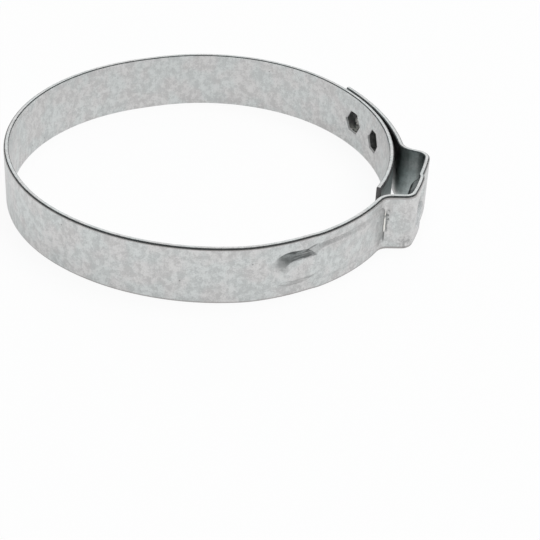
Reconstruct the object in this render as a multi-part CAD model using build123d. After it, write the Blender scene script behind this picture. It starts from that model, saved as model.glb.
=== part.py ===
from build123d import *
import os
from math import acos, atan2, cos, degrees, radians, sin, sqrt, tan

# Ear hose clamp: one galvanised steel strip, rolled into a ring that closes with one ear.
# Millimetres and degrees, +Z up. The strip stands on its lower edge at z = 0, and the origin
# is the ring's centre. The ear points to +X, and azimuths count from +X towards +Y.
# Along the strip: tongue, shoulders, lap with two hooks, ring, channel with its nose,
# joggle, ear with its dimple, outer end with two windows for the hooks.

# Strip
band_thickness = 0.6
band_height = 7.0
outer_edge_round = 0.25         # of the strip, on the outside of the ring
inner_edge_chamfer = 0.1

# Ring: open, it is round on the side away from the ear and wider towards the front and back.
# Once crimped, it closes to a circle. Each relief is an arc's radius less the round part's.
ring_bore = 44.6                # inside of the round part, and the way through the open ring
back_flat_start = 116
back_flat_relief = 23.0
back_turn_start = 111.3
back_turn_relief = -2.05
front_flat_start = -133
front_flat_relief = 2.07
front_turn_start = -80.5
front_turn_relief = -7.95
front_root_lead = 2.55          # of the arc beside the ear, beyond the end of the nose's crest
front_root_relief = 0.69

# Joggle: the band steps outwards before the ear, over the tongue
joggle_distance = 12.9          # ahead of the ear
joggle_radius = 6.0
joggle_step = 0.12

# Lap: the inner layer, which runs on under the outer one
lap_start = 47.6
lap_relief = 1.13
shoulder_gap = 1.25             # from the ear's front root back to the shoulders
shoulder_round = 0.4

# Tongue: the narrow end that slides in the channel
tongue_width = 2.8
tongue_length = 10.5
tongue_relief = 7.0
tongue_tip_round = 1.0

# Ear
ear_azimuth = -11.25
ear_width = 9.7                 # inside, between the legs at the crown
ear_rise = 3.57                 # from the round part's radius to the crown's middle
ear_skew = 1.7                  # turn of the crown about its middle
front_leg_lean = 15.7           # each leg leans in towards the crown
rear_leg_lean = 9.0
crown_bow = 0.1                 # by which each half bows outwards
crown_step = 0.2                # the front half stands this much further out
crown_step_place = 0.25         # ahead of the crown's middle
crown_step_length = 0.6
crown_step_bend = 0.7
root_bend = 1.8                 # bend radii at the strip's middle
front_corner_bend = 1.25
rear_corner_bend = 1.4

# Dimple pressed into the crown, across its step, with a flat floor
dimple_length = 5.2             # at its mouth
dimple_height = 4.9
dimple_corner = 1.9
dimple_place = 0.8              # ahead of the crown's middle
dimple_depth = 1.1              # below the front half's outer face
dimple_draft = 28
dimple_wall = 0.5
dimple_edge_round = 0.3
dimple_floor_bevel = 0.35

# Outer layer behind the ear
touch_azimuth = 31              # where it lies closest to the inner layer
lap_gap = 0.08
outer_layer_relief = 6.3
end_margin = 2.8                # strip left beyond the second hook

# Hooks: hexagonal cups pressed out of the inner layer, through windows in the outer one
hook_azimuth = 20.5
hook_pitch = 5.28
hook_flats = 2.45               # across the flats of the cup, inside
hook_wall = 0.35
hook_depth = 0.9
hook_floor = 0.45
hook_clearance = 0.1
hook_edge_bevel = 0.15

# Channel pressed outwards in front of the ear: low beside the joggle, steeper at its round nose
channel_length = 15.75          # from the ear's front root to the end of the nose's crest
channel_width = 3.6             # of its flat crest
channel_rise = 0.2              # above the band beside the ear
channel_slope = 20
channel_margin = 0.35           # of plain strip above and below its low part
nose_length = 4.6
low_part_lag = 4.0              # from the nose's round end to the low part's
nose_width = 2.35               # of its flat crest
nose_rise = 0.19                # above the low part's crest
nose_slope = 27
nose_tilt = 2.4                 # its crest falls towards the ear
crest_round = 0.6
groove_depth = 0.3              # below the band's inner face beside the ear
groove_clearance = 0.15         # each side of the tongue

ring_radius = ring_bore / 2 + band_thickness / 2
half_strip = band_thickness / 2
mid_height = band_height / 2
cut_margin = 1.0
face_margin = 0.2               # for cuts that start in the narrow space between two layers
tiny = 0.001


def direction(azimuth):
    return Vector(cos(radians(azimuth)), sin(radians(azimuth)))


def azimuth_of(point, circle):
    spoke = point - circle[0]
    return degrees(atan2(spoke.Y, spoke.X))


def from_axis(circle, point):
    spoke = point - circle[0]
    return sqrt(spoke.X**2 + spoke.Y**2)


def turn_for(length, circle):
    return degrees(length / abs(circle[1]))


def carry_on(circle, new_radius, azimuth):
    # The circle that carries on, tangent, from another at this azimuth.
    # A negative radius has its centre on the outside of the ring.
    centre, radius = circle
    return centre + (radius - new_radius) * direction(azimuth), new_radius


def arc(circle, start, end):
    centre, radius = circle
    return ThreePointArc(*(centre + radius * direction(a) for a in (start, (start + end) / 2, end)))


def ahead_of_ear(length):
    # the azimuth this far along the ring, in front of the ear
    return ear_azimuth - degrees((ear_width / 2 + length) / ring_radius)


def joggle_span():
    # turn between the ends of the two arcs that step from one circle to the other
    far = front_root[1] + joggle_radius
    near = front_root[1] + joggle_step - joggle_radius
    return degrees(acos((far**2 + near**2 - 4 * joggle_radius**2) / (2 * far * near)))


def meeting_point(circle, point, along):
    # where a line through the point meets the circle, on the side that it points to
    centre, radius = circle
    offset = point - centre
    reach = offset.dot(along)
    chord = sqrt(reach**2 - offset.dot(offset) + radius**2)
    return point + (chord - reach) * along


ring = (Vector(0, 0), ring_radius)
back_flat = carry_on(ring, ring_radius + back_flat_relief, back_flat_start)
back_turn = carry_on(back_flat, ring_radius + back_turn_relief, back_turn_start)
lap = carry_on(back_turn, ring_radius + lap_relief, lap_start)
front_flat = carry_on(ring, ring_radius + front_flat_relief, front_flat_start)
front_turn = carry_on(front_flat, ring_radius + front_turn_relief, front_turn_start)
front_root_start = ahead_of_ear(channel_length + front_root_lead)
front_root = carry_on(front_turn, ring_radius + front_root_relief, front_root_start)
joggle_azimuth = ahead_of_ear(joggle_distance)
ear_root = (front_root[0], front_root[1] + joggle_step)
joggle_end = joggle_azimuth + joggle_span()
joggle_out = carry_on(front_root, -joggle_radius, joggle_azimuth)
joggle_in = carry_on(ear_root, joggle_radius, joggle_end)
joggle_middle = azimuth_of(joggle_out[0], joggle_in)
over_lap = (lap[0], lap[1] + band_thickness + lap_gap)
outer_layer = carry_on(over_lap, lap[1] + outer_layer_relief, touch_azimuth)

# Corners of the ear, where its centre lines meet
crown_middle = (ring_radius + ear_rise) * direction(ear_azimuth)
crown_out = direction(ear_azimuth - ear_skew)
crown_along = direction(ear_azimuth - ear_skew + 90)
crown_half = (ear_width + band_thickness) / 2
front_corner = crown_middle - crown_half * crown_along
rear_corner = crown_middle + crown_half * crown_along
front_foot = meeting_point(ear_root, front_corner, direction(ear_azimuth + front_leg_lean))
rear_foot = meeting_point(outer_layer, rear_corner, direction(ear_azimuth - rear_leg_lean))
root_azimuth = azimuth_of(front_foot, ear_root)

shoulder_azimuth = azimuth_of(front_foot, lap) + turn_for(shoulder_gap, lap)
tongue = carry_on(lap, lap[1] + tongue_relief - lap_relief, shoulder_azimuth)
hook_azimuths = [hook_azimuth, hook_azimuth + turn_for(hook_pitch, lap)]
last_window = meeting_point(outer_layer, lap[0], direction(hook_azimuths[-1]))
end_azimuth = azimuth_of(last_window, outer_layer) + turn_for(end_margin, outer_layer)


def on_crown(along, out):
    return crown_middle + along * crown_along + out * crown_out


def bowed(start, end):
    return ThreePointArc(start, (start + end) / 2 + crown_bow * crown_out, end)


def ear_line():
    # both roots, the legs and the stepped crown, with their bends
    step_front = on_crown(-crown_step_place - crown_step_length / 2, crown_bow + crown_step)
    step_rear = on_crown(-crown_step_place + crown_step_length / 2, crown_bow)
    line = Wire(
        [
            arc(ear_root, joggle_end, root_azimuth),
            Line(front_foot, front_corner),
            bowed(front_corner, step_front),
            Line(step_front, step_rear),
            bowed(step_rear, rear_corner),
            Line(rear_corner, rear_foot),
            arc(outer_layer, azimuth_of(rear_foot, outer_layer), end_azimuth),
        ]
    )
    bends = (
        (front_foot, root_bend),
        (front_corner, front_corner_bend),
        (step_front, crown_step_bend),
        (step_rear, crown_step_bend),
        (rear_corner, rear_corner_bend),
        (rear_foot, root_bend),
    )
    for corner, radius in bends:
        line = line.fillet_2d(radius, [line.vertices().sort_by_distance(corner)[0]])
    return line.edges().sort_by(line)


def strip_line():
    run = [
        arc(lap, shoulder_azimuth, lap_start),
        arc(back_turn, lap_start, back_turn_start),
        arc(back_flat, back_turn_start, back_flat_start),
        arc(ring, back_flat_start, front_flat_start + 360),
        arc(front_flat, front_flat_start, front_turn_start),
        arc(front_turn, front_turn_start, front_root_start),
        arc(front_root, front_root_start, joggle_azimuth),
        arc(joggle_out, joggle_azimuth, joggle_middle),
        arc(joggle_in, joggle_middle, joggle_end),
    ]
    return run + list(ear_line())


def beside(edges, gap):
    # the same run of lines and arcs moved sideways, positive to the outside of the ring
    moved = []
    for edge in edges:
        spots = [edge @ t + gap * (edge % t).rotate(Axis.Z, -90) for t in (0, 0.5, 1)]
        if edge.geom_type == GeomType.LINE:
            moved.append(Line(spots[0], spots[2]))
        else:
            moved.append(ThreePointArc(*spots))
    return moved


def strip_outline(edges):
    inner = beside(edges, -half_strip)
    outer = beside(edges, half_strip)
    ends = [Line(inner[0] @ 0, outer[0] @ 0), Line(inner[-1] @ 1, outer[-1] @ 1)]
    return make_face(inner + outer + ends)


def long_edges(strip, edges, gap):
    # edges of the solid strip that run along this side of it, at the top and the bottom
    marks = [edge @ 0.5 for edge in beside(edges, gap)]
    flat = strip.edges().filter_by(lambda e: abs((e @ 0).Z - (e @ 1).Z) < 1e-6)
    return [e for e in flat if any(((e @ 0.5) - mark).cross(Vector(0, 0, 1)).length < 1e-3 for mark in marks)]


def bent_strip():
    line = strip_line()
    strip = extrude(strip_outline(line), band_height)
    strip = fillet(long_edges(strip, line, half_strip), outer_edge_round)
    return chamfer(long_edges(strip, line, -half_strip), inner_edge_chamfer)


def narrow_strip(start, width):
    # a length of the tongue's arc that ends at the shoulders, at mid height
    run = [arc(tongue, start, shoulder_azimuth)]
    return Pos(0, 0, mid_height - width / 2) * extrude(strip_outline(run), width)


def tongue_strip():
    tip = shoulder_azimuth - turn_for(tongue_length, tongue)
    strip = narrow_strip(tip, tongue_width)
    corners = strip.edges().filter_by(Plane.XY).sort_by_distance(on_spoke(tongue, tongue[1], tip))
    strip = fillet(corners[:2], tongue_tip_round)
    neck = shoulder_azimuth - turn_for(shoulder_round, tongue)
    wide = tongue_width / 2 + shoulder_round
    bar = Cylinder(shoulder_round, 2 * band_thickness)
    bars = [facing_plane(tongue, tongue[1], neck) * Pos(side * wide, 0, 0) * bar for side in (-1, 1)]
    return strip + (narrow_strip(neck, 2 * wide) - bars)


def on_spoke(circle, radius, azimuth):
    # a point at mid height
    return circle[0] + radius * direction(azimuth) + Vector(0, 0, mid_height)


def spoke_plane(circle, azimuth):
    # x is the distance from the circle's centre, y the height
    return Plane(tuple(circle[0]), x_dir=direction(azimuth), z_dir=direction(azimuth - 90))


def facing_plane(circle, radius, azimuth):
    # looks outwards at mid height, with its x axis upwards
    return Plane(on_spoke(circle, radius, azimuth), x_dir=(0, 0, 1), z_dir=direction(azimuth))


def sector(circle, corners, start, end):
    # the profile is one side of mid height, and the other side is its mirror image
    below = [(x, mid_height - y) for x, y in corners]
    above = [(x, mid_height + y) for x, y in reversed(corners)]
    profile = spoke_plane(circle, start) * make_face(Polyline(*below, *above, close=True))
    return revolve(profile, Axis(tuple(circle[0]), (0, 0, 1)), end - start)


def hexagon(flats):
    return RegularPolygon(flats / 2, 6, major_radius=False, rotation=30)


def windows():
    size = hook_flats + 2 * hook_wall + 2 * hook_clearance
    inner_face = lap[1] + half_strip
    blocks = [
        facing_plane(lap, inner_face - face_margin, a) * extrude(hexagon(size), band_thickness + cut_margin)
        for a in hook_azimuths
    ]
    core = Pos(lap[0].X, lap[0].Y, mid_height) * Cylinder(inner_face + lap_gap / 2, band_height)
    return [block - core for block in blocks]


def hook_bosses():
    height = hook_depth + hook_floor - half_strip
    boss = extrude(hexagon(hook_flats + 2 * hook_wall), height)
    boss = chamfer(boss.faces().sort_by(Axis.Z)[-1].edges(), hook_edge_bevel)
    return [facing_plane(lap, lap[1], a) * boss for a in hook_azimuths]


def hook_pockets():
    pocket = Pos(0, 0, -face_margin) * extrude(hexagon(hook_flats), hook_depth + face_margin)
    return [facing_plane(lap, lap[1] - half_strip, a) * pocket for a in hook_azimuths]


channel_start = root_azimuth - turn_for(channel_length - nose_width / 2, ear_root)
channel_crest = ear_root[1] + half_strip + channel_rise
ridge_base = front_root[1]


def ridge(circle, start, end, crest_width, slope):
    # the circle runs along its crest, and a round end stands at its start
    crest = circle[1]
    crest_half = crest_width / 2
    base_half = crest_half + (crest - ridge_base) / tan(radians(slope))
    run = sector(circle, [(ridge_base, base_half), (crest, crest_half)], start, end)
    cone = Cone(base_half, crest_half, crest - ridge_base, align=(Align.CENTER, Align.CENTER, Align.MIN))
    half_cone = cone & Pos(0, base_half, 0) * Box(2 * base_half, 2 * base_half, 2 * cut_margin)
    whole = run + facing_plane(circle, ridge_base, start) * half_cone
    edges = whole.edges().filter_by(GeomType.CIRCLE)
    return fillet([e for e in edges if from_axis(circle, e @ 0) > crest - tiny], crest_round)


def channel_ridge():
    tip = ear_root[0] + (channel_crest + nose_rise) * direction(channel_start)
    lean = channel_start + nose_tilt
    nose = (tip - (channel_crest + nose_rise) * direction(lean), channel_crest + nose_rise)
    steep = ridge(nose, lean, lean + turn_for(nose_length, nose), nose_width, nose_slope)
    low_start = channel_start + turn_for(low_part_lag, ear_root)
    low = ridge((ear_root[0], channel_crest), low_start, root_azimuth, channel_width, channel_slope)
    slab = Pos(0, 0, mid_height) * Box(3 * ring_bore, 3 * ring_bore, band_height - 2 * channel_margin)
    return steep + (low & slab)


def channel_groove():
    half = tongue_width / 2 + groove_clearance
    inner = ear_root[1] - half_strip
    levels = [(inner - face_margin, half), (inner + groove_depth, half)]
    end = root_azimuth + turn_for(3 * band_thickness, ear_root)
    run = sector(ear_root, levels, channel_start, end)
    height = groove_depth + face_margin
    end_round = Cylinder(half, height, align=(Align.CENTER, Align.CENTER, Align.MIN))
    return run + facing_plane(ear_root, inner - face_margin, channel_start) * end_round


def crown_plane(sink):
    # looks inwards at this depth below the front half's outer face, with its x axis upwards
    spot = on_crown(-dimple_place, crown_bow + crown_step + half_strip - sink) + Vector(0, 0, mid_height)
    return Plane(spot, x_dir=(0, 0, 1), z_dir=-crown_out)


def dimple_form(start, end, growth):
    # between two depths, this much larger all round than the dimple
    margin = growth - start * tan(radians(dimple_draft))
    outline = RectangleRounded(
        dimple_height + 2 * margin, dimple_length + 2 * margin, dimple_corner + margin
    )
    form = extrude(crown_plane(start) * outline, end - start, taper=dimple_draft)
    floor = form.faces().sort_by_distance(crown_plane(end).origin)[0]
    return chamfer(floor.edges(), dimple_floor_bevel)


def mouth_edges(strip, spot, axis, reach):
    # edges around a pressed hollow, on the face that it opens in
    def on_face(point):
        offset = point - spot
        return offset.length < reach and abs(offset.dot(axis)) < half_strip / 2

    return [e for e in strip.edges() if all(on_face(e @ t) for t in (0, 0.5, 1))]


def clamp_band():
    strip = bent_strip() + channel_ridge()
    strip -= channel_groove()
    strip -= windows()
    strip += hook_bosses()
    strip -= hook_pockets()
    for azimuth in hook_azimuths:
        mouth = on_spoke(lap, lap[1] - half_strip, azimuth)
        strip = chamfer(mouth_edges(strip, mouth, direction(azimuth), 0.6 * hook_flats), hook_edge_bevel)
    strip += dimple_form(band_thickness - crown_step / 2, dimple_depth + dimple_wall, dimple_wall)
    strip -= dimple_form(-face_margin, dimple_depth, 0)
    rim = mouth_edges(strip, crown_plane(crown_step / 2).origin, crown_out, 0.8 * dimple_length)
    return fillet(rim, dimple_edge_round) + tongue_strip()


os.makedirs("parts", exist_ok=True)
export_step(clamp_band(), "parts/clamp_band.step")
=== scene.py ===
from math import cos, radians, sin

import bpy
from mathutils import Matrix, Vector

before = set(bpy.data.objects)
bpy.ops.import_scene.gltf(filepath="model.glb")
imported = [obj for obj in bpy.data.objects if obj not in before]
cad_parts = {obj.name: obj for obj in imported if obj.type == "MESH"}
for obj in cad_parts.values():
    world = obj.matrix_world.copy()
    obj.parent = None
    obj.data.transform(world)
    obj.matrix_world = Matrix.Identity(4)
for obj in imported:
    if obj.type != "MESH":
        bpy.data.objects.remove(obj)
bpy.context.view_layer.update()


# A Signal is one output socket. Sums on it add Math nodes to the same board.
class Signal:
    def __init__(self, board, socket):
        self.board = board
        self.socket = socket

    def math(self, operation, first, second=None):
        values = {0: first} if second is None else {0: first, 1: second}
        return self.board.add("ShaderNodeMath", {"operation": operation}, values)

    def __add__(self, other):
        return self.math("ADD", self, other)

    def __radd__(self, other):
        return self.math("ADD", other, self)

    def __sub__(self, other):
        return self.math("SUBTRACT", self, other)

    def __rsub__(self, other):
        return self.math("SUBTRACT", other, self)

    def __mul__(self, other):
        return self.math("MULTIPLY", self, other)

    def __rmul__(self, other):
        return self.math("MULTIPLY", other, self)

    def largest(self, other):
        return self.math("MAXIMUM", self, other)

    def size(self):
        return self.math("ABSOLUTE", self)


# A Board is the node tree of one material, or of the world
class Board:
    def __init__(self, tree):
        self.tree = tree
        tree.nodes.clear()

    def add(self, kind, settings=None, values=None, output=0):
        node = self.tree.nodes.new(kind)
        for name, value in (settings or {}).items():
            setattr(node, name, value)
        for name, value in (values or {}).items():
            self.feed(node.inputs[name], value)
        return Signal(self, node.outputs[output]) if len(node.outputs) else None

    def feed(self, socket, value):
        if isinstance(value, Signal):
            self.tree.links.new(value.socket, socket)
        elif socket.type == "RGBA":
            socket.default_value = (*value, 1)
        else:
            socket.default_value = value

    def finish(self, shader, kind="ShaderNodeOutputMaterial"):
        self.add(kind, values={"Surface": shader})

    def ramp(self, value, start, end, low=0.0, high=1.0):
        # eases from low to high while the value goes from start to end
        reach = {"Value": value, "From Min": start, "From Max": end, "To Min": low, "To Max": high}
        return self.add("ShaderNodeMapRange", {"interpolation_type": "SMOOTHSTEP"}, reach)

    def mix(self, factor, first, second, blend="MIX"):
        settings = {"data_type": "RGBA", "blend_type": blend}
        return self.add("ShaderNodeMix", settings, {0: factor, 6: first, 7: second}, output=2)

    def vector(self, operation, values, output=0):
        return self.add("ShaderNodeVectorMath", {"operation": operation}, values, output)

    def stretch(self, vector, factors):
        return self.vector("MULTIPLY", {0: vector, 1: factors})

    def offset(self, place, spot):
        return self.vector("SUBTRACT", {0: place, 1: spot})

    def dot(self, first, second):
        return self.vector("DOT_PRODUCT", {0: first, 1: second}, output="Value")

    def length(self, vector):
        return self.vector("LENGTH", {0: vector}, output="Value")

    def distance(self, place, spot):
        return self.vector("DISTANCE", {0: place, 1: spot}, output="Value")

    def upwards(self, vector):
        return self.add("ShaderNodeSeparateXYZ", values={0: vector}, output=2)

    def normal(self):
        return self.add("ShaderNodeNewGeometry", output="True Normal")

    def noise(self, place, size, detail=2.0, output=0, coarse=0.5):
        # size is that of its larger patches, in the units of place
        values = {"Vector": place, "Scale": 1 / size, "Detail": detail, "Roughness": coarse}
        return self.add("ShaderNodeTexNoise", {"noise_dimensions": "3D"}, values, output)

    def cells(self, place, size, feature="F1", output="Color", **values):
        values = {"Vector": place, "Scale": 1 / size, **values}
        return self.add("ShaderNodeTexVoronoi", {"feature": feature}, values, output)

    def channel(self, colour):
        return self.add("ShaderNodeSeparateColor", values={0: colour})


def newMaterial(name):
    material = bpy.data.materials.new(name)
    material.use_nodes = True
    return material, Board(material.node_tree)


# In all that follows on the strip, lengths and places are in millimetres. A pair of values
# says where a mark begins to show and where it is full, and a third and fourth its least and
# greatest strength.
zinc = {
    "clean": (0.735, 0.739, 0.737),
    "dull": (0.545, 0.548, 0.547),
    "dullToClean": (0.34, 0.66),
    "coolTint": (0.975, 1.0, 0.997),
    "warmTint": (1.0, 0.985, 0.982),
    "coolToWarm": (0.4, 0.6),
    "tintSize": 3.2,
    "grimeAndShade": (0.16, 0.165, 0.165),      # in specks, nicks and torn metal; also painted shade in the cups, by the crease and nose, on the dimple's back
    "crystalSize": 0.8,                 # soft spangle
    "crystalBlur": 0.45,
    "crystalShare": 0.45,               # the rest is cloudy patches
    "crystalWander": 0.5,
    "wanderSize": 0.7,
    "mottleSize": 0.78,
    "mottleDetail": 6.0,
    "mottleCoarse": 0.68,
    "mottlePatches": (0.43, 0.57),
    "grainSize": 0.16,
    "streakStretch": (2.6, 2.6, 0.22),
    "speckSpacing": 1.5,
    "speckReach": (0.11, 0.044),
    "speckChance": (0.55, 0.6),
    "roughness": 0.28,
    "relief": 0.0035,
    "bumpStrength": 0.6,
    "scatter": 0.9,                     # share of light that torn or punched metal scatters
    "facing": (0.2, 1.0),               # offset from an axis or a spot, along a face's normal
}


def spangle(board, place):
    # soft crystals, cloud, grain and faint drawing marks across the strip, each 0.5 on average
    wander = board.noise(place, zinc["wanderSize"], output="Color")
    wander = board.vector("SCALE", {0: wander, "Scale": zinc["crystalWander"]})
    shifted = board.vector("ADD", {0: place, 1: wander})
    crystals = board.cells(shifted, zinc["crystalSize"], "SMOOTH_F1", Smoothness=zinc["crystalBlur"])
    crystals = board.channel(crystals)
    cloud = board.noise(place, zinc["mottleSize"], zinc["mottleDetail"], coarse=zinc["mottleCoarse"])
    patches = (1 - zinc["crystalShare"]) * board.ramp(cloud, *zinc["mottlePatches"])
    return {
        "crystals": zinc["crystalShare"] * crystals + patches,
        "cloud": cloud,
        "grain": board.noise(place, zinc["grainSize"], detail=1.0),
        "streaks": board.noise(board.stretch(place, zinc["streakStretch"]), 1.0),
    }


def specks(board, place):
    # a few pits and dirt spots
    spacing = zinc["speckSpacing"]
    distance = spacing * board.cells(place, spacing, output="Distance")
    chance = board.channel(board.cells(place, spacing))
    return board.ramp(distance, *zinc["speckReach"]) * board.ramp(chance, *zinc["speckChance"])


# Sheared edges, as heights above or below the strip's middle
edges = {
    "middle": 3.5,                      # half the strip's height
    "cut": (3.34, 3.44),                # smoother
    "worn": (3.18, 3.3),                # through to steel, where the shears rolled the edge over
    "wornEnd": (3.5, 3.46),
    "wornWobble": 0.02,
    "wobbleSize": 0.6,
    "widerNearEar": 0.12,
    "nearEar": (14.0, 5.0),
    "bareSteel": (0.355, 0.333, 0.328),
}


def fromMiddle(board, place):
    return (board.upwards(place) - edges["middle"]).size()


def outside(board, place):
    # the faces that look away from the ring's axis
    spoke = board.stretch(place, (1, 1, 0))
    return board.ramp(board.dot(spoke, board.normal()), *zinc["facing"])


def bareEdge(board, place):
    level = fromMiddle(board, place) + edges["wornWobble"] * (board.noise(place, edges["wobbleSize"]) - 0.5)
    wider = edges["widerNearEar"] * board.ramp(board.distance(place, ear["middle"]), *edges["nearEar"])
    worn = board.ramp(level + wider, *edges["worn"]) * board.ramp(level, *edges["wornEnd"])
    return worn * outside(board, place)


# Crease in the bend before the ear: a burr rubbed bright with a painted highlight; nicks and painted shade
# by and below it
crease = {
    "foot": (21.6, -10.8, 0),           # it stands straight up from there
    "crestReach": (0.19, 0.095),        # all reaches are from its middle
    "rimReach": (0.456, 0.285),
    "rimHeights": (5.0, 3.0, 0.5, 0.85),
    "nickReach": (0.684, 0.456),
    "nickSide": (-0.02, 0.06),          # only towards the ear
    "lineReach": (0.152, 0.057),
    "burrStart": (2.3, 2.8),            # heights
    "burrEnd": (5.6, 4.9),
    "taper": 0.1,                       # narrower by this towards its top
    "taperHeights": (3.2, 5.2),
    "wobble": 0.34,
    "wobbleSize": 0.5,
    "nickSize": 0.38,
    "nickChance": (0.48, 0.56),
    "nickStart": (3.7, 4.1),
    "nickEnd": (5.5, 5.1),
    "lineStart": (0.9, 1.6),
    "lineEnd": (2.9, 2.3),
    # the burr's colour is rubbed metal with a painted highlight; the flecks' painted glints use it too
    "burrAndHighlightColour": (0.93, 0.91, 0.86),
}


def creaseMarks(board, place):
    # the burr's crest, rubbed bright with a painted highlight, and round it painted shade: its dark rim,
    # the nicks and the line
    height = board.upwards(place)
    offset = board.offset(place, crease["foot"])
    distance = board.length(board.stretch(offset, (1, 1, 0)))
    wobble = crease["wobble"] * (board.noise(place, crease["wobbleSize"], detail=3.0) - 0.5)
    ragged = distance + wobble + crease["taper"] * board.ramp(height, *crease["taperHeights"])
    burr = board.ramp(height, *crease["burrStart"]) * board.ramp(height, *crease["burrEnd"])
    crest = board.ramp(ragged, *crease["crestReach"]) * burr
    rimShadow = board.ramp(ragged, *crease["rimReach"]) * burr * board.ramp(height, *crease["rimHeights"])
    earSide = board.ramp(board.dot(offset, (1, 0, 0)), *crease["nickSide"])
    nicksAndShade = board.ramp(ragged, *crease["nickReach"]) * earSide
    nicksAndShade = nicksAndShade * board.ramp(height, *crease["nickStart"]) * board.ramp(height, *crease["nickEnd"])
    nicksAndShade = nicksAndShade * board.ramp(board.noise(place, crease["nickSize"], detail=1.0), *crease["nickChance"])
    shadeLine = board.ramp(distance, *crease["lineReach"])
    shadeLine = shadeLine * board.ramp(height, *crease["lineStart"]) * board.ramp(height, *crease["lineEnd"])
    return crest, rimShadow.largest(nicksAndShade).largest(shadeLine) * (1 - crest)


# Channel and its nose, pressed outwards, with drawn lines on their slopes and painted shade at the nose
channel = {
    "drawnColour": (0.30, 0.303, 0.303),
    "drawnStretch": (0.5, 0.5, 5.0),
    "drawnDetail": 4.0,
    "drawnCoarse": 0.7,
    "darkLines": (0.4, 0.6),
    "brightLines": (0.57, 0.43),
    "brightScatter": 0.22,
    "paleScatter": 0.4,                 # more at the pale end
    "slope": (0.28, 0.46),              # slopes as the size of the normal's height
    "slopeEnd": (0.72, 0.6),
    "steep": (0.36, 0.42),
    "steepEnd": (0.6, 0.5),
    "pressedWithin": (3.15, 3.0),       # of the strip's middle
    "noseEndShade": (10.25, -21.85, 4.5),    # its flank gets painted shade where it turns round the end
    "endShape": (1, 1, 0.7),
    "endReach": (0.95, 0.25),
    "patchSize": 0.35,
    "patches": (0.3, 0.6, 0.6, 1.0),
    "nosePale": (13.6, -19.9, 5.0),     # and rubbed pale here
    "paleReach": (2.4, 0.3),
    "lineMiddle": (13.3, -19.9, 5.62),  # a thin line of painted shade runs on from the flank to the strip's edge
    "lineRise": 0.39,                   # along +X
    "lineWidth": (0.13, 0.04),
    "lineReach": (1.15, 0.5),
}


def drawnLines(board, place):
    # dark lines along every slope, and bright ones on the nose's steeper flank
    facing = board.upwards(board.normal()).size()
    face = board.ramp(fromMiddle(board, place), *channel["pressedWithin"])
    drawn = board.stretch(place, channel["drawnStretch"])
    drawn = board.noise(drawn, 1.0, channel["drawnDetail"], coarse=channel["drawnCoarse"])
    slope = board.ramp(facing, *channel["slope"]) * board.ramp(facing, *channel["slopeEnd"]) * face
    steep = board.ramp(facing, *channel["steep"]) * board.ramp(facing, *channel["steepEnd"]) * face
    dark = slope * board.ramp(drawn, *channel["darkLines"])
    return dark, steep * board.ramp(drawn, *channel["brightLines"])


def noseMarks(board, place):
    # painted shade round the nose's end and along the thin line, and the pale end of its flank
    end = board.length(board.stretch(board.offset(place, channel["noseEndShade"]), channel["endShape"]))
    patchy = board.ramp(board.noise(place, channel["patchSize"]), *channel["patches"])
    end = board.ramp(end, *channel["endReach"]) * patchy
    besideLine = board.dot(board.offset(place, channel["lineMiddle"]), (-channel["lineRise"], 0, 1)).size()
    alongLine = board.distance(place, channel["lineMiddle"])
    shadeLine = board.ramp(besideLine, *channel["lineWidth"]) * board.ramp(alongLine, *channel["lineReach"])
    pale = board.ramp(board.distance(place, channel["nosePale"]), *channel["paleReach"])
    dark = (cover["noseEndShade"] * end).largest(cover["noseLineShade"] * shadeLine)
    return dark * outside(board, place), pale


# Ear, and what is seen in the space under it
ear = {
    "middle": (24.6, -4.9, 3.5),
    "rubSize": 0.9,
    "rubWidth": (0.03, 0.0),
    "rubReach": (8.5, 4.25, 0.15),      # a few are left further off
    "rubPatchSize": 1.7,
    "rubPatches": (0.45, 0.6),
    "grimyCorner": (24.1, -10.4, 0.9),  # low on the front leg
    "cornerReach": (1.4, 0.5),
    "grainSize": 0.32,
    "grainChance": (0.5, 0.6),
    "within": (22.9, -4.6, 3.5),
    "withinReach": (7.5, 6.0),
    "shadeUnderEar": (0.68, 0.74, 0.74),         # painted shade that darkens and tints the faces under the ear
    "dimpleSide": (25.7, -4.9, 2.4),    # the lower one, left matt by the punch and painted pale as a painted reflection
    "sideReach": (3.6, 3.0),
    "sideTilt": (0.15, 0.45),
    "punchedAndPaintedLight": (0.86, 0.87, 0.88),
    "bulgeShade": (25.1, -5.6, 6.0),         # the dimple's back, darkened with painted shade
    "bulgeReach": (2.0, 1.4),
    "cutEnd": (20.8, -8.8, 0),          # of the inner layer, darkened with painted shade
    "cutEndFacing": (-0.38, -0.925, 0),
    "cutEndReach": (0.8, 0.6),
    "cutEndDepth": (0.1, 0.05),
    # painted shade colour of the cut end
    "cutEndShade": (0.085, 0.083, 0.085),
}


def rubs(board, place):
    # short curved scuffs, thickest round the ear
    near = board.ramp(board.distance(place, ear["middle"]), *ear["rubReach"])
    bends = board.ramp((board.noise(place, ear["rubSize"]) - 0.5).size(), *ear["rubWidth"])
    patches = board.ramp(board.noise(place, ear["rubPatchSize"], detail=1.0), *ear["rubPatches"])
    return bends * patches * near


def grimyGrain(board, place):
    near = board.ramp(board.distance(place, ear["grimyCorner"]), *ear["cornerReach"])
    return near * board.ramp(board.noise(place, ear["grainSize"]), *ear["grainChance"])


def underEar(board, place):
    # the faces that look into the space under the ear, which get painted shade
    inwards = board.stretch(board.offset(ear["within"], place), (1, 1, 0))
    facing = board.ramp(board.dot(inwards, board.normal()), *zinc["facing"])
    return facing * board.ramp(board.distance(place, ear["within"]), *ear["withinReach"])


def dimpleSide(board, place):
    near = board.ramp(board.distance(place, ear["dimpleSide"]), *ear["sideReach"])
    tilted = board.ramp(board.upwards(board.normal()), *ear["sideTilt"])
    return near * tilted * outside(board, place)


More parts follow.
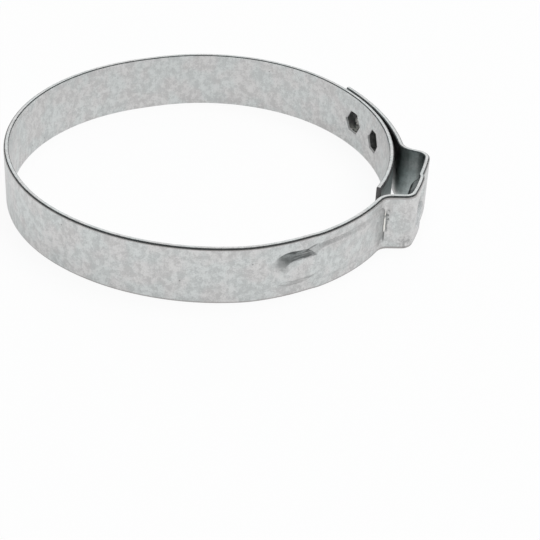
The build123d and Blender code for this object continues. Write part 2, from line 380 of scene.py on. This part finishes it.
def cutEnd(board, place):
    offset = board.offset(place, ear["cutEnd"])
    distance = board.length(board.stretch(offset, (1, 1, 0)))
    depth = board.dot(offset, ear["cutEndFacing"]).size()
    return board.ramp(depth, *ear["cutEndDepth"]) * board.ramp(distance, *ear["cutEndReach"])


# Hooks: each cup has its mouth, the azimuth of its floor and its share of bright flecks with painted glints
hooks = {
    "cups": (
        {"mouth": (20.79, 8.52, 3.5), "azimuth": 20.5, "flecksAndGlints": 0.35},
        {"mouth": (18.43, 13.16, 3.5), "azimuth": 33.25, "flecksAndGlints": 1.0},
    ),
    "cupReach": (2.0, 1.9),
    "cupDepth": (0.05, 0.15),
    "glintSide": (-1.1, -0.4),         # towards the ear, where the painted glints are
    "fleckSize": 0.42,
    "fleckChance": (0.42, 0.56),
    "tearSize": 0.6,
}


def cupShadeAndGlints(board, place):
    # the ragged metal in both cups, darkened with painted shade, and bright flecks with painted glints
    # towards the ear
    tornAndShade = []
    glints = []
    for cup in hooks["cups"]:
        turn = radians(cup["azimuth"])
        offset = board.offset(place, cup["mouth"])
        depth = board.ramp(board.dot(offset, (cos(turn), sin(turn), 0)), *hooks["cupDepth"])
        within = board.ramp(board.distance(place, cup["mouth"]), *hooks["cupReach"]) * depth
        tornAndShade.append(within * (1 - outside(board, place)))
        earwards = board.ramp(board.dot(offset, (sin(turn), -cos(turn), 0)), *hooks["glintSide"])
        glints.append(cup["flecksAndGlints"] * tornAndShade[-1] * earwards)
    flecksAndGlints = board.ramp(board.noise(place, hooks["fleckSize"]), *hooks["fleckChance"])
    return tornAndShade[0].largest(tornAndShade[1]), flecksAndGlints * glints[0].largest(glints[1])


# How far each mark's own colour covers the zinc
cover = {
    "rubs": 0.85,
    "bareEdge": 0.7,
    "drawnLines": 0.6,
    "bulgeShade": 0.5,
    "cutEnd": 0.9,
    "specks": 0.75,
    "noseEndShade": 0.5,
    "noseLineShade": 0.55,
    "nicksAndShade": 0.9,
    "grimyGrain": 0.405,
    "tornAndShade": 0.7,
    "punchedAndPaintedLight": 0.6,
}

# Weights of the patterns and marks. Below zero they smooth the metal, or sink into it.
weights = {
    "tone": {"crystals": 0.22, "cloud": 0.24, "grain": 0.36, "streaks": 0.18},
    "roughness": {
        "crystals": 0.07,
        "cloud": 0.028,
        "grain": 0.042,
        "specks": 0.1,
        "rubs": 0.05,
        "punchedAndPaintedLight": 0.15,
        "cut": -0.05,
    },
    "relief": {
        "crystals": 0.35,
        "grain": 0.4,
        "streaks": 0.25,
        "specks": -1.5,
        "rubs": -0.5,
        "crest": 8,
        "nicksAndShade": -5,
        "drawnLines": -2,
        "tornAndShade": 160,
    },
}


def weighed(marks, aim):
    return sum(weight * marks[name] for name, weight in weights[aim].items())


def galvanised():
    material, board = newMaterial("galvanisedZinc")
    metres = board.add("ShaderNodeTexCoord", output="Object")
    place = board.vector("SCALE", {0: metres, "Scale": 1000})

    marks = spangle(board, place)
    marks["specks"] = specks(board, place)
    marks["rubs"] = rubs(board, place)
    marks["punchedAndPaintedLight"] = dimpleSide(board, place)
    marks["cut"] = board.ramp(fromMiddle(board, place), *edges["cut"])
    marks["crest"], marks["nicksAndShade"] = creaseMarks(board, place)
    marks["drawnLines"], brightLines = drawnLines(board, place)
    noseShade, nosePale = noseMarks(board, place)
    under = underEar(board, place)
    bulgeShade = under * board.ramp(board.distance(place, ear["bulgeShade"]), *ear["bulgeReach"])
    tornAndShade, flecksAndGlints = cupShadeAndGlints(board, place)
    marks["tornAndShade"] = tornAndShade * board.noise(place, hooks["tearSize"])

    tone = board.ramp(weighed(marks, "tone"), *zinc["dullToClean"])
    colour = board.mix(tone, zinc["dull"], zinc["clean"])
    warmth = board.ramp(board.noise(place, zinc["tintSize"]), *zinc["coolToWarm"])
    colour = board.mix(1.0, colour, board.mix(warmth, zinc["coolTint"], zinc["warmTint"]), "MULTIPLY")

    # the real specks and the nose's painted shade darken to the same colour
    specksAndNoseShade = (cover["specks"] * marks["specks"]).largest(noseShade)
    # the crease's nicks with their painted shade, and the grimy grains
    grimeAndCreaseShade = (cover["nicksAndShade"] * marks["nicksAndShade"]).largest(cover["grimyGrain"] * grimyGrain(board, place))
    colour = board.mix(cover["rubs"] * marks["rubs"], colour, zinc["dull"])
    colour = board.mix(cover["bareEdge"] * bareEdge(board, place), colour, edges["bareSteel"])
    colour = board.mix(cover["drawnLines"] * marks["drawnLines"], colour, channel["drawnColour"])
    # painted shade under the ear
    colour = board.mix(under, colour, ear["shadeUnderEar"], "MULTIPLY")
    # painted shade on the dimple's back
    colour = board.mix(cover["bulgeShade"] * bulgeShade, colour, zinc["grimeAndShade"])
    # painted shade on the inner layer's cut end
    colour = board.mix(cover["cutEnd"] * cutEnd(board, place), colour, ear["cutEndShade"])
    colour = board.mix(specksAndNoseShade, colour, zinc["grimeAndShade"])
    colour = board.mix(grimeAndCreaseShade, colour, zinc["grimeAndShade"])
    # painted shade inside the cups, over their ragged metal
    colour = board.mix(cover["tornAndShade"] * tornAndShade, colour, zinc["grimeAndShade"])
    # the dimple's side: matt from the punch, and painted pale as a painted reflection
    colour = board.mix(cover["punchedAndPaintedLight"] * marks["punchedAndPaintedLight"], colour, ear["punchedAndPaintedLight"])
    # painted highlight on the burr's crest, and painted glints on the cups' flecks
    colour = board.mix(marks["crest"].largest(flecksAndGlints), colour, crease["burrAndHighlightColour"])

    # the punched side, torn flecks and bright lines scatter light
    brightLines = brightLines * (channel["brightScatter"] + channel["paleScatter"] * nosePale)
    metallic = 1 - zinc["scatter"] * marks["punchedAndPaintedLight"].largest(flecksAndGlints).largest(brightLines)
    roughness = zinc["roughness"] + weighed(marks, "roughness")

    relief = weighed(marks, "relief")
    relief = {"Strength": zinc["bumpStrength"], "Distance": zinc["relief"] / 1000, "Height": relief}
    normal = board.add("ShaderNodeBump", values=relief)

    surface = {"Base Color": colour, "Metallic": metallic, "Roughness": roughness, "Normal": normal}
    board.finish(board.add("ShaderNodeBsdfPrincipled", values=surface))
    return material


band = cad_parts["clamp_band"]
band.data.materials.clear()
band.data.materials.append(galvanised())
print("Band finished with galvanised zinc")


# Floor, room and lamps: metres. The metal sees the white sheet it stands on, a low white
# backdrop, a soft panel beyond the far side, and a dim room above and behind the camera.
# The top lamp is kept out of the metal: it lights the sheet and casts the faint shadow.
studio = {
    "floorSize": 3.0,
    "floorColour": (0.95, 0.95, 0.95),
    "cameraGlow": 0.92,                 # share of plain white that the camera sees in the floor
    "metalGlow": 0.60,                  # and that the metal sees
    "white": (1, 1, 1),
    "room": (0.105, 0.118, 0.12),
    "backdropTop": (0.10, 0.03),        # the backdrop fades out there, as the sine of the height
    "panel": {"place": (0, 1.05, 0.76), "size": 1.05, "power": 3.4, "inMetal": True},
    "top": {"place": (0.30, -0.10, 1.15), "size": 1.3, "power": 13.5, "inMetal": False},
}


def paleSheet(name):
    # reads as white to the camera and in the metal, and keeps the shadow
    material, board = newMaterial(name)
    camera, glossy, through = (
        board.add("ShaderNodeLightPath", output=key)
        for key in ("Is Camera Ray", "Is Glossy Ray", "Is Transmission Ray")
    )
    glow = (camera * studio["cameraGlow"]).largest(glossy.largest(through) * studio["metalGlow"])
    matt = board.add("ShaderNodeBsdfDiffuse", values={"Color": studio["floorColour"]})
    white = board.add("ShaderNodeEmission", values={"Color": studio["white"], "Strength": 1.0})
    board.finish(board.add("ShaderNodeMixShader", values={0: glow, 1: matt, 2: white}))
    return material


def setFloor():
    half = studio["floorSize"] / 2
    corners = [(-half, -half, 0), (half, -half, 0), (half, half, 0), (-half, half, 0)]
    mesh = bpy.data.meshes.new("floor")
    mesh.from_pydata(corners, [], [(0, 1, 2, 3)])
    mesh.materials.append(paleSheet("paleFloor"))
    floor = bpy.data.objects.new("floor", mesh)
    bpy.context.scene.collection.objects.link(floor)


def setRoom():
    world = bpy.data.worlds.new("room")
    world.use_nodes = True
    bpy.context.scene.world = world
    board = Board(world.node_tree)
    rise = board.upwards(board.add("ShaderNodeTexCoord", output="Generated"))
    backdrop = board.ramp(rise, *studio["backdropTop"])
    seen = board.add("ShaderNodeLightPath", output="Is Camera Ray").largest(backdrop)
    colour = board.mix(seen, studio["room"], studio["white"])
    light = board.add("ShaderNodeBackground", values={"Color": colour, "Strength": 1.0})
    board.finish(light, "ShaderNodeOutputWorld")


def softLamp(name, facts):
    light = bpy.data.lights.new(name, "AREA")
    light.shape = "SQUARE"
    light.size = facts["size"]
    light.energy = facts["power"]
    lamp = bpy.data.objects.new(name, light)
    bpy.context.scene.collection.objects.link(lamp)
    lamp.location = facts["place"]
    lamp.rotation_euler = (-Vector(facts["place"])).to_track_quat("-Z", "Y").to_euler()
    lamp.visible_glossy = facts["inMetal"]


setFloor()
setRoom()
softLamp("softPanel", studio["panel"])
softLamp("topLamp", studio["top"])
bpy.context.scene.view_settings.view_transform = "Standard"
print("Floor, room and lamps set")


# Camera: metres, degrees and millimetres of lens
view = {
    "place": (0.008982, -0.155261, 0.092612),
    "tilt": 33.668,                     # below the horizon
    "roll": 3.1433,
    "lens": 100.126,
    "sensor": 36.0,
    "clip": (0.01, 10),
}


def setCamera():
    data = bpy.data.cameras.new("photoView")
    data.lens = view["lens"]
    data.sensor_width = view["sensor"]
    data.sensor_fit = "HORIZONTAL"
    data.clip_start, data.clip_end = view["clip"]
    camera = bpy.data.objects.new("photoView", data)
    bpy.context.scene.collection.objects.link(camera)
    lean = Matrix.Rotation(radians(90 - view["tilt"]), 4, "X")
    roll = Matrix.Rotation(radians(view["roll"]), 4, "Z")
    camera.matrix_world = Matrix.Translation(view["place"]) @ lean @ roll
    bpy.context.scene.camera = camera


setCamera()
